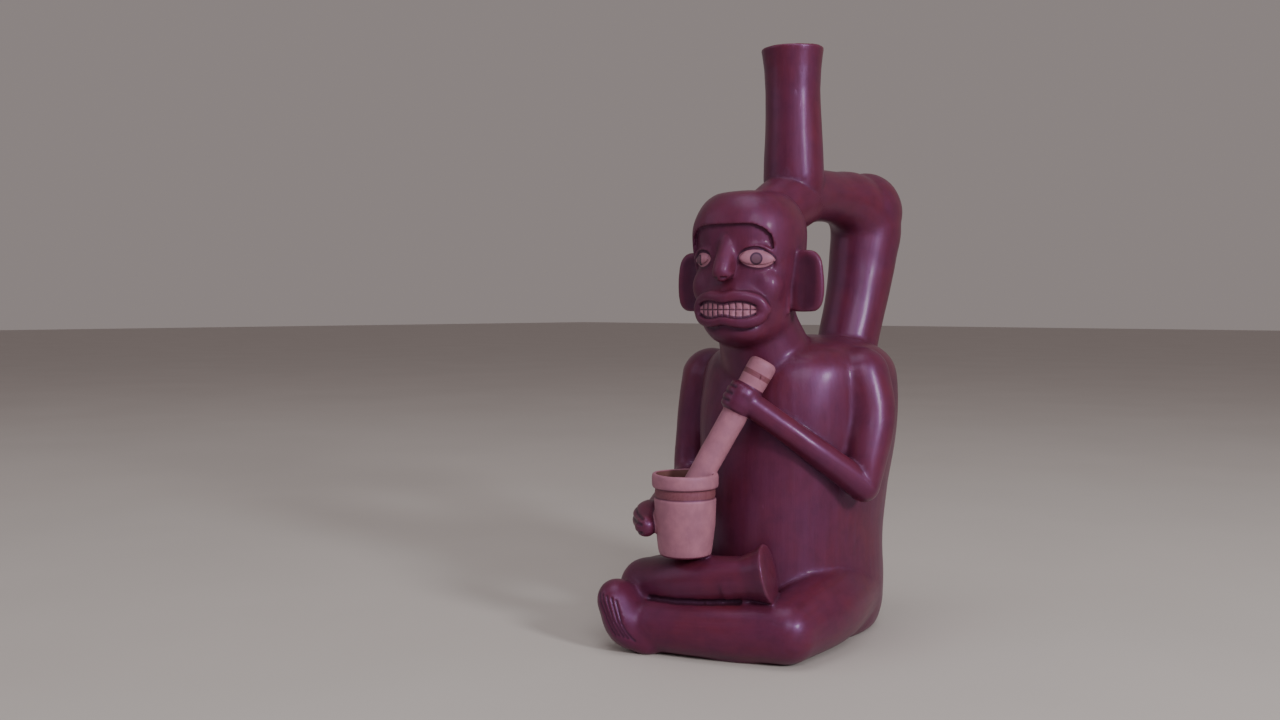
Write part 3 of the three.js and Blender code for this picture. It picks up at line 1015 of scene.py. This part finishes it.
def mortar_masks(x, y, z):
    """The mortar's outside with its lip, and its inside."""
    across, deep = x - MORTAR["x"], y - MORTAR["y"]
    apart = (across * across + deep * deep) ** 0.5
    collar = z.above(MORTAR["rim"] - BAND_TOP - 0.3, 0.5) * 1.25
    taper = (z - MORTAR["base"]) * 0.075
    outside = (MORTAR["foot_radius"] + 1.15 + taper.least(1.5) + collar - apart).above(0.0, 0.06)
    inside = (MORTAR["foot_radius"] - 0.9 + taper.least(2.2) - apart).above(0.0, 0.25)
    standing = z.between(MORTAR["base"] + 0.9, MORTAR["rim"] + 0.8, 0.15)
    return outside * standing, inside * standing


def eye_masks(x, y, z):
    """The white of the eye, its iris and the iris's dark rim, and the painted shade in the groove round the
    eye.
    """
    turn = math.radians(EYE["turn"])
    out = abs(x) - EYE["x"]
    across = out * math.cos(turn) + (y - EYE["y"]) * math.sin(turn)
    up = z - EYE["z"]
    level = up - across * math.tan(math.radians(EYE["tilt"]))
    left = x.above(0.0)
    width, height = (left * (1 - small) + small for small in SMALL_EYE)
    share = (1 - (across / (width * EYE["width"])) ** 2).most(0.0)
    power = 0.525 + across.above(0.0, 0.1) * 0.225
    lid = height * EYE["height"] * share**power - abs(level)
    front = y.below(-8.0)
    white = lid.above(0.0, 0.12) * share.above(0.02, 0.02) * front
    # rim: painted shade in the groove round the eye, under its lids.
    rim = lid.between(-1.0, 0.1, 0.25) * share.above(0.01, 0.01) * front
    sideways = across / (0.5 + width * 0.5) + left * 1.6 - 1.2
    middle = (sideways**2 + up * up) ** 0.5 / (0.5 + height * 0.5)
    iris = middle.below(EYE["iris"], 0.12) * white
    ring = middle.between(EYE["iris"] - 0.75, EYE["iris"], 0.18) * white
    return white, iris, ring, rim


def teeth_masks(x, y, z):
    """The teeth, and the painted shade in the gaps between them and round the mouth's opening."""
    x = x - MOUTH["x"]
    share = (1 - (abs(x) / (MOUTH["width"] - CORNER)) ** MOUTH_SQUARENESS).most(0.0)
    pinch = MOUTH["pinch"] * math.e ** (0 - (x / PINCH_WIDTH) ** 2)
    height = abs(z - MOUTH["z"])
    inside = MOUTH["height"] * share**0.6 - pinch - height
    open_mouth = inside.above(0.15, 0.15) * abs(x).below(14.0, 0.2) * y.below(-14.0)
    upright_gap = x.maths("PINGPONG", x + TOOTH * 20, TOOTH / 2)
    # Painted shade: the upright gaps, the line between upper and lower teeth, and the mouth's edge.
    gaps = upright_gap.below(0.24, 0.12).most(height.below(0.2, 0.12)).most(inside.below(0.55, 0.25))
    return open_mouth, gaps * open_mouth


# ---- Colours, linear ----

SLIP = (0.092, 0.0145, 0.037, 1)
SLIP_RED = (0.116, 0.016, 0.029, 1)
SLIP_DARK = (0.046, 0.007, 0.017, 1)
SLIP_PLUM = (0.104, 0.018, 0.062, 1)
WORN = (0.200, 0.070, 0.085, 1)
CREAM = (0.390, 0.165, 0.215, 1)
CREAM_GREY = (0.305, 0.130, 0.175, 1)
# Real stains and specks on the cream, and painted shade in its creases.
CREAM_STAIN_AND_SHADE = (0.210, 0.085, 0.100, 1)
BROWN_BAND = (0.200, 0.070, 0.080, 1)
BARE_CLAY = (0.120, 0.050, 0.035, 1)
IRIS = (0.120, 0.055, 0.070, 1)
# Dark for the iris's painted rim, and for painted shade in creases, pressed lines, round the eyes and
# between the teeth.
DARK_LINE_AND_SHADE = (0.020, 0.006, 0.010, 1)
VIOLET_SHEEN = (0.66, 0.40, 1.0, 1)


class Grain:
    """The unevenness that every part of the finish shares."""

    def __init__(self, recipe, at):
        strokes = recipe.stored("strokes", "Vector")
        self.clouds = recipe.grain(at, 0.045, 4.0, 0.55)
        self.blotches = recipe.grain(at, 0.16, 5.0, 0.6)
        self.specks = recipe.grain(at, 1.7, 3.0, 0.6)
        self.broad = recipe.grain(recipe.stretched(strokes, (0.33, 0.33, 0.028)), 1.0, 2.0, 0.5)
        self.fine = recipe.grain(recipe.stretched(strokes, (1.5, 1.5, 0.07)), 1.0, 3.0, 0.6)
        scuffed = recipe.grain(recipe.stretched(strokes, (0.9, 0.9, 0.3)), 1.0, 5.0, 0.7)
        self.scuffs = scuffed.above(0.34, 0.12)
        self.ridge = Value(recipe, recipe.stored("ridge"))
        # Where the clay dips: the slip is darkened there as painted shade, and roughened.
        self.crease = self.ridge.below(-0.05, 0.09)
        # How deep each line was pressed; the slip is darkened there as painted shade.
        self.pressed = Value(recipe, recipe.stored("pressed"))


def red_slip(recipe, grain, eye_rim_shade):
    """Red slip, clouded and plum along the strokes, paler on worn ridges, with painted shade in its creases,
    pressed lines and the groove round the eye.
    """
    red = recipe.mix(grain.clouds.above(0.0, 0.45), SLIP, SLIP_RED)
    red = recipe.mix(grain.blotches.above(0.12, 0.4) * 0.4, red, SLIP_DARK)
    red = recipe.mix(grain.broad.above(0.05, 0.5) * 0.25, red, SLIP_PLUM)
    red = recipe.mix(grain.fine.above(0.25, 0.3) * 0.06, red, WORN)
    red = recipe.mix(grain.scuffs * 0.10, red, WORN)
    patchy = (0.45 + grain.blotches * 0.5 + grain.specks * 0.3).least(1.0).most(0.0)
    red = recipe.mix(grain.ridge.above(0.10, 0.08) * patchy * 0.4, red, WORN)
    # Painted shade: the slip darkened in the creases.
    red = recipe.mix(grain.crease * 0.55, red, DARK_LINE_AND_SHADE)
    # Painted shade: the slip darkened in the pressed lines.
    red = recipe.mix(grain.pressed.above(0.22, 0.18) * 0.45, red, DARK_LINE_AND_SHADE)
    # Painted shade in the groove round each eye.
    return recipe.mix(eye_rim_shade * 0.4, red, DARK_LINE_AND_SHADE)


def cream_slip(recipe, grain):
    """Cream slip, greyer in blotches and strokes, stained, and darkened in its creases as painted shade."""
    cream = recipe.mix(grain.blotches.above(0.0, 0.4), CREAM, CREAM_GREY)
    cream = recipe.mix(grain.fine.above(0.15, 0.35) * 0.22, cream, CREAM_GREY)
    stains = grain.clouds.above(0.25, 0.3).most(grain.scuffs * 0.7) * 0.3
    cream = recipe.mix(stains, cream, CREAM_STAIN_AND_SHADE)
    cream = recipe.mix(grain.specks.above(0.45, 0.1) * 0.35, cream, CREAM_STAIN_AND_SHADE)
    # Painted shade: the cream darkened in its creases.
    return recipe.mix(grain.ridge.below(-0.05, 0.08) * 0.5, cream, CREAM_STAIN_AND_SHADE)


def add_bands(recipe, grain, cream, z, along, mortar, pestle):
    """The cream with the brown bands of the mortar and the pestle on it."""
    low, high = MORTAR["rim"] - BAND_BASE, MORTAR["rim"] - BAND_TOP
    ragged = grain.blotches * 0.15
    on_mortar = mortar * (1 - pestle)
    mortar_band = (z + ragged).between(low, high, 0.12) * on_mortar
    edges = abs(abs(z - (low + high) / 2) - (high - low) / 2).below(0.35, 0.15) * on_mortar
    pestle_low, pestle_high = (PESTLE_LENGTH - below for below in PESTLE_BAND)
    pestle_band = (along + ragged).between(pestle_low, pestle_high, 0.12) * pestle
    brown = recipe.mix(grain.fine.above(0.1, 0.3) * 0.4, BROWN_BAND, SLIP_RED)
    cream = recipe.mix(mortar_band.most(pestle_band), cream, brown)
    return recipe.mix(edges * 0.6, cream, SLIP_DARK)


def polish(recipe, grain, face, light, bare):
    """Red slip shines most, its face less, cream slip little and bare clay not at all."""
    shader = recipe.shader
    red = 0.4 + face * 0.12 + grain.broad * 0.05 + grain.fine * 0.06 + grain.scuffs * 0.1
    rough = (red + grain.crease * 0.2) * (1 - light) + (0.56 + grain.blotches * 0.08) * light
    rough = rough * (1 - bare) + bare * 0.85
    recipe.feed(shader.inputs["Roughness"], rough.least(0.95).most(0.2))
    coat = (0.12 + grain.broad * 0.1).most(0.0) * (1 - light) * (1 - bare)
    recipe.feed(shader.inputs["Coat Weight"], coat)
    relief = grain.broad * 0.5 + grain.fine * 0.22 + grain.specks * 0.1
    relief = relief + grain.blotches * 0.2 - grain.scuffs * 0.12
    bump = recipe.node("ShaderNodeBump", {}, {"Strength": 0.5, "Distance": 0.00012, "Height": relief})
    recipe.feed(shader.inputs["Normal"], bump.outputs[0])
    shader.inputs["Coat Roughness"].default_value = 0.2
    shader.inputs["Specular Tint"].default_value = VIOLET_SHEEN
    shader.inputs["Specular IOR Level"].default_value = 0.6


def burnished_slip():
    """Red slip polished with a pebble, with cream slip on the eyes, teeth, mortar and pestle."""
    recipe = Recipe("burnished_slip")
    at = recipe.placed()
    x, y, z = recipe.split(at)
    head = recipe.split(recipe.placed((0, HEAD_Y, 0), math.radians(HEAD_TURN)))
    grain = Grain(recipe, at)

    pestle, along = pestle_mask(recipe, at)
    mortar, inside = mortar_masks(x, y, z)
    white, iris, ring, eye_rim_shade = eye_masks(*head)
    teeth, gaps = teeth_masks(*head)
    inside = inside * (1 - pestle)
    spout_across = (x * x + (y - SPOUT_FOOT.y + 2) ** 2) ** 0.5
    throat = spout_across.below(12.2, 0.4) * z.above(215.0)
    light = pestle.most(mortar * (1 - inside)).most(white).most(teeth)
    bare = (inside * mortar).most(throat) * (1 - light)
    face = head[1].below(2.0, 6.0) * z.between(140.0, 196.0, 5.0)

    cream = add_bands(recipe, grain, cream_slip(recipe, grain), z, along, mortar, pestle)
    cream = recipe.mix(iris, cream, IRIS)
    cream = recipe.mix(ring * 0.7, cream, DARK_LINE_AND_SHADE)
    # Painted shade between the teeth.
    cream = recipe.mix(gaps * 0.85, cream, DARK_LINE_AND_SHADE)
    colour = recipe.mix(light, red_slip(recipe, grain, eye_rim_shade), cream)
    colour = recipe.mix(bare, colour, BARE_CLAY)
    colour = recipe.mix(z.below(0.25, 0.1) * 0.8, colour, BARE_CLAY)
    recipe.feed(recipe.shader.inputs["Base Color"], colour)
    polish(recipe, grain, face, light, bare)
    return recipe.material


# ---- The stage ----

FLOOR = (0.56, 0.52, 0.50, 1)
FLOOR_SHADE = (0.52, 0.48, 0.46, 1)
SKY = (0.90, 0.78, 0.76, 1)


def pale_floor():
    """Pale, faintly clouded plaster."""
    recipe = Recipe("pale_floor")
    at = recipe.node("ShaderNodeTexCoord").outputs["Object"]
    haze = recipe.grain(at, 6.0, 4.0, 0.5)
    recipe.feed(recipe.shader.inputs["Base Color"], recipe.mix(haze.above(0.0, 0.9), FLOOR, FLOOR_SHADE))
    recipe.shader.inputs["Roughness"].default_value = 0.7
    return recipe.material


def make_floor():
    net = bmesh.new()
    bmesh.ops.create_grid(net, x_segments=1, y_segments=1, size=8)
    mesh = bpy.data.meshes.new("floor")
    net.to_mesh(mesh)
    net.free()
    mesh.materials.append(pale_floor())
    floor = bpy.data.objects.new("floor", mesh)
    bpy.context.scene.collection.objects.link(floor)


MIDDLE = Vector((0, 0, 0.13))  # the vessel's middle, where the lamps look
# Metres, degrees, and millimetres for the lens.
CAMERA = {"azimuth": 35.0, "distance": 0.577, "height": 0.1555, "aside": 6.89, "down": 2.56, "lens": 33.75}


def make_camera(shift):
    """A camera that looks at the figure's left front, a little past it."""
    lens = bpy.data.cameras.new("camera")
    lens.sensor_width = 36
    lens.lens = CAMERA["lens"]
    camera = bpy.data.objects.new("camera", lens)
    bpy.context.scene.collection.objects.link(camera)
    azimuth = math.radians(CAMERA["azimuth"])
    away = Vector((math.sin(azimuth), -math.cos(azimuth), 0)) * CAMERA["distance"]
    camera.location = away + Vector((0, 0, CAMERA["height"])) + shift
    camera.rotation_euler = (math.radians(90 - CAMERA["down"]), 0, azimuth + math.radians(CAMERA["aside"]))
    bpy.context.scene.camera = camera


def soft_light(name, azimuth, elevation, distance, size, watts):
    """A round soft lamp turned to the vessel's middle; azimuth 0 is in front, 90 at the figure's left."""
    lamp = bpy.data.lights.new(name, "AREA")
    lamp.shape = "DISK"
    lamp.size = size
    lamp.energy = watts
    made = bpy.data.objects.new(name, lamp)
    turn, rise = math.radians(azimuth), math.radians(elevation)
    level = math.cos(rise)
    away = Vector((math.sin(turn) * level, -math.cos(turn) * level, math.sin(rise))) * distance
    made.location = away + MIDDLE
    made.rotation_euler = (-away).to_track_quat("-Z", "Y").to_euler()
    bpy.context.scene.collection.objects.link(made)


def make_light():
    """A small window at the figure's left, a wide one in front, and weak fill."""
    soft_light("window", 80, 21, 1.3, 0.24, 10)
    soft_light("wide_window", 46, 34, 1.5, 0.7, 6)
    soft_light("far_side", -40, 25, 1.8, 1.2, 2.5)
    soft_light("overhead", 10, 80, 1.5, 1.0, 5)
    world = bpy.data.worlds.new("studio")
    world.use_nodes = True
    world.node_tree.nodes["Background"].inputs["Color"].default_value = SKY
    world.node_tree.nodes["Background"].inputs["Strength"].default_value = 0.3
    bpy.context.scene.world = world


def make_everything():
    vessel = make_vessel()
    hand_made(vessel)
    shift = fit_to_cad(vessel)
    vessel.data.shade_smooth()
    vessel.data.materials.clear()
    vessel.data.materials.append(burnished_slip())
    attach(vessel, "root")
    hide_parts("vessel")
    make_floor()
    make_camera(shift)
    make_light()


make_everything()
